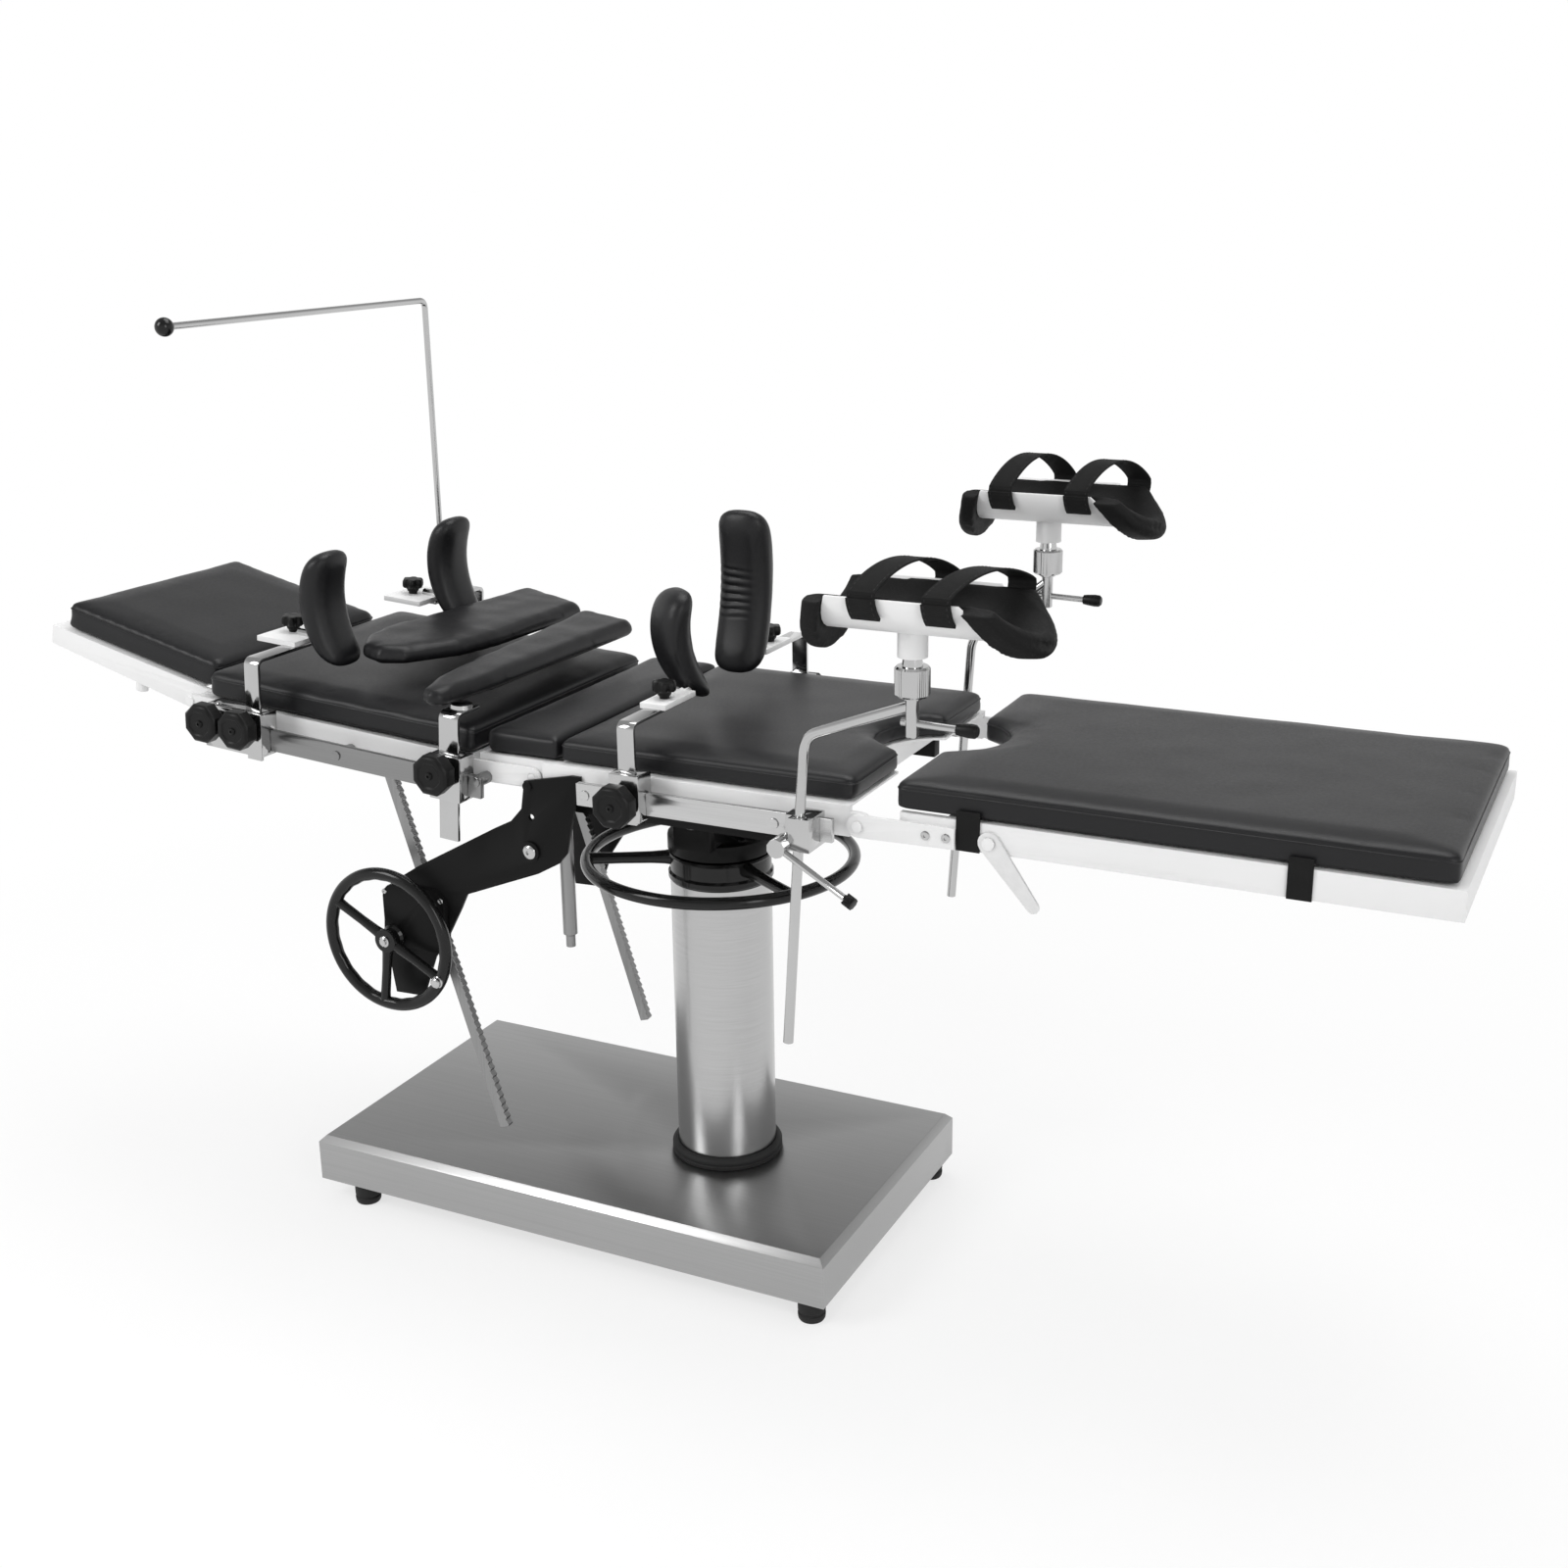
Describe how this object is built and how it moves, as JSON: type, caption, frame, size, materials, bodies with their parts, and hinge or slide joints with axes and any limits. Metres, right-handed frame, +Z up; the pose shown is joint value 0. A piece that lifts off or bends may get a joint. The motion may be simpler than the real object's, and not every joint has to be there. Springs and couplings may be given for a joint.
{
  "type": "operating table",
  "caption": "Manual operating table: sectioned padded top on a tilting lift column with hand wheels, and side rails carrying armboards, body supports, a screen and leg stirrups.",
  "frame": {"origin": "centre of the bounding box's floor face, on the floor", "axes": "+X towards the foot end, +Y towards the far side, away from the side hand wheel, +Z up"},
  "size_m": [2.207, 0.831, 1.4027],
  "materials": {
    "brushed_steel": "satin",
    "column_steel": "satin",
    "white_enamel": "satin",
    "black_enamel": "satin",
    "gloss_black": "gloss",
    "chrome": "polished",
    "rubber": "matte",
    "black_leatherette": "satin",
    "black_fabric": "matte",
    "cast_iron": "matte",
    "satin_steel": "satin"
  },
  "bodies": {
    "base": {"base_cover": "brushed_steel", "base_chassis": "cast_iron", "foot_head_near": "rubber", "foot_head_far": "rubber", "foot_foot_near": "rubber", "foot_foot_far": "rubber", "column_sleeve": "column_steel", "column_ring": "rubber"},
    "lift_wheel": {"lift_wheel": "gloss_black"},
    "lift": {"lift_column": "black_enamel"},
    "pitch": {"pitch_block": "black_enamel"},
    "seat": {"seat_subframe": "black_enamel", "seat_frame": "white_enamel", "seat_rail_near": "brushed_steel", "seat_rail_far": "brushed_steel", "seat_cushion": "black_leatherette", "arm_plate_near": "black_enamel", "arm_plate_far": "black_enamel", "hip_clamp_near": "chrome", "hip_clamp_far": "chrome", "stirrup_clamp_near": "chrome", "stirrup_clamp_far": "chrome"},
    "bridge": {"bridge_frame": "satin_steel", "bridge_pad": "black_leatherette"},
    "pinion": {"pinion_shaft": "satin_steel"},
    "side_wheel": {"side_wheel": "gloss_black"},
    "back": {"back_frame": "white_enamel", "back_rail_near": "brushed_steel", "back_rail_far": "brushed_steel", "back_cushion": "black_leatherette", "shoulder_clamp_near": "chrome", "shoulder_clamp_far": "chrome", "arm_clamp_near": "chrome", "arm_clamp_far": "chrome"},
    "head": {"head_frame": "white_enamel", "head_cushion": "black_leatherette"},
    "leg": {"leg_frame": "white_enamel", "leg_cushion": "black_leatherette"},
    "leg_lever": {"leg_lever": "brushed_steel"},
    "screen": {"screen_rod": "chrome"},
    "rack_near": {"rack_near": "satin_steel"},
    "shoulder_near": {"shoulder_post_near": "chrome", "shoulder_pad_near": "black_leatherette"},
    "hip_near": {"hip_post_near": "chrome", "hip_pad_near": "black_leatherette"},
    "arm_post_near": {"arm_post_near": "chrome"},
    "armboard_near": {"armboard_near": "black_leatherette"},
    "stirrup_near": {"stirrup_rod_near": "chrome"},
    "cup_near": {"stirrup_cup_near": "white_enamel", "stirrup_liner_near": "black_fabric"},
    "rack_far": {"rack_far": "satin_steel"},
    "shoulder_far": {"shoulder_post_far": "chrome", "shoulder_pad_far": "black_leatherette"},
    "hip_far": {"hip_post_far": "chrome", "hip_pad_far": "black_leatherette"},
    "arm_post_far": {"arm_post_far": "chrome"},
    "armboard_far": {"armboard_far": "black_leatherette"},
    "stirrup_far": {"stirrup_rod_far": "chrome"},
    "cup_far": {"stirrup_cup_far": "white_enamel", "stirrup_liner_far": "black_fabric"}
  },
  "joints": [
    {"name": "column_lift", "type": "slide", "parent": "base", "child": "lift", "axis": [0, 0, 1], "range_m": [0, 0.25]},
    {"name": "lift_wheel_turn", "type": "hinge", "parent": "base", "child": "lift_wheel", "pos_m": [0.0115, 0, 0.6], "axis": [0, 0, 1], "range_deg": [-10, 1820]},
    {"name": "table_pitch", "type": "hinge", "parent": "lift", "child": "pitch", "pos_m": [0.0115, 0, 0.69], "axis": [0, 1, 0], "range_deg": [-15, 20]},
    {"name": "table_roll", "type": "hinge", "parent": "pitch", "child": "seat", "pos_m": [0.0115, 0, 0.7], "axis": [1, 0, 0], "range_deg": [-15, 15]},
    {"name": "bridge_lift", "type": "slide", "parent": "seat", "child": "bridge", "axis": [0, 0, 1], "range_m": [0, 0.12]},
    {"name": "back_fold", "type": "hinge", "parent": "seat", "child": "back", "pos_m": [-0.1535, 0, 0.775], "axis": [0, -1, 0], "range_deg": [-57, 10]},
    {"name": "rack_swing_near", "type": "hinge", "parent": "back", "child": "rack_near", "pos_m": [-0.44349, -0.215, 0.78525], "axis": [0, -1, 0], "range_deg": [-6, 31]},
    {"name": "rack_swing_far", "type": "hinge", "parent": "back", "child": "rack_far", "pos_m": [-0.44349, 0.215, 0.78525], "axis": [0, -1, 0], "range_deg": [-6, 31]},
    {"name": "pinion_turn", "type": "hinge", "parent": "seat", "child": "pinion", "pos_m": [-0.3503, 0, 0.58904], "axis": [0, -1, 0], "range_deg": [-740, 140]},
    {"name": "side_wheel_turn", "type": "hinge", "parent": "seat", "child": "side_wheel", "pos_m": [-0.4015, -0.2865, 0.5], "axis": [0, -1, 0], "range_deg": [-1470, 270]},
    {"name": "head_fold", "type": "hinge", "parent": "back", "child": "head", "pos_m": [-0.781, 0, 0.81838], "axis": [0, 1, 0], "range_deg": [-60, 12]},
    {"name": "leg_fold", "type": "hinge", "parent": "seat", "child": "leg", "pos_m": [0.3525, 0, 0.775], "axis": [0, -1, 0], "range_deg": [-90, 0]},
    {"name": "leg_lever_turn", "type": "hinge", "parent": "leg", "child": "leg_lever", "pos_m": [0.5315, -0.25, 0.776], "axis": [0, 1, 0], "range_deg": [-50, 40]},
    {"name": "shoulder_slide_near", "type": "slide", "parent": "back", "child": "shoulder_near", "axis": [0.0698, 0, 0.9976], "range_m": [-0.02, 0.06]},
    {"name": "hip_slide_near", "type": "slide", "parent": "seat", "child": "hip_near", "axis": [0, 0, 1], "range_m": [-0.02, 0.06]},
    {"name": "arm_post_slide_near", "type": "slide", "parent": "back", "child": "arm_post_near", "axis": [-0.0698, 0, -0.9976], "range_m": [-0.06, 0.02]},
    {"name": "shoulder_slide_far", "type": "slide", "parent": "back", "child": "shoulder_far", "axis": [0.0698, 0, 0.9976], "range_m": [-0.02, 0.06]},
    {"name": "hip_slide_far", "type": "slide", "parent": "seat", "child": "hip_far", "axis": [0, 0, 1], "range_m": [-0.02, 0.06]},
    {"name": "arm_post_slide_far", "type": "slide", "parent": "back", "child": "arm_post_far", "axis": [-0.0698, 0, -0.9976], "range_m": [-0.06, 0.02]},
    {"name": "armboard_turn_near", "type": "hinge", "parent": "arm_post_near", "child": "armboard_near", "pos_m": [-0.26129, -0.258, 0.86775], "axis": [-0.0698, 0, -0.9976], "range_deg": [0, 20]},
    {"name": "armboard_turn_far", "type": "hinge", "parent": "arm_post_far", "child": "armboard_far", "pos_m": [-0.43187, 0.258, 0.87967], "axis": [0.0698, 0, 0.9976], "range_deg": [0, 5]},
    {"name": "screen_slide", "type": "slide", "parent": "back", "child": "screen", "axis": [0, 0, 1], "range_m": [-0.1, 0.2]},
    {"name": "stirrup_slide_near", "type": "slide", "parent": "seat", "child": "stirrup_near", "axis": [0.0645, 0, 0.9979], "range_m": [-0.08, 0.15]},
    {"name": "cup_turn_near", "type": "hinge", "parent": "stirrup_near", "child": "cup_near", "pos_m": [0.45747, -0.33, 1.043], "axis": [0, 0, 1], "range_deg": [-30, 30]},
    {"name": "stirrup_slide_far", "type": "slide", "parent": "seat", "child": "stirrup_far", "axis": [0.0645, 0, 0.9979], "range_m": [-0.08, 0.15]},
    {"name": "cup_turn_far", "type": "hinge", "parent": "stirrup_far", "child": "cup_far", "pos_m": [0.40547, 0.33, 1.066], "axis": [0, 0, 1], "range_deg": [-30, 30]}
  ],
  "couplings": [
    {"joint": "lift_wheel_turn", "follows": "column_lift", "rad_per_m": 125.66},
    {"joint": "rack_swing_near", "follows": "back_fold", "ratio": -0.521},
    {"joint": "rack_swing_far", "follows": "back_fold", "ratio": -0.521},
    {"joint": "pinion_turn", "follows": "back_fold", "ratio": 12.76},
    {"joint": "side_wheel_turn", "follows": "back_fold", "ratio": 25.52}
  ]
}
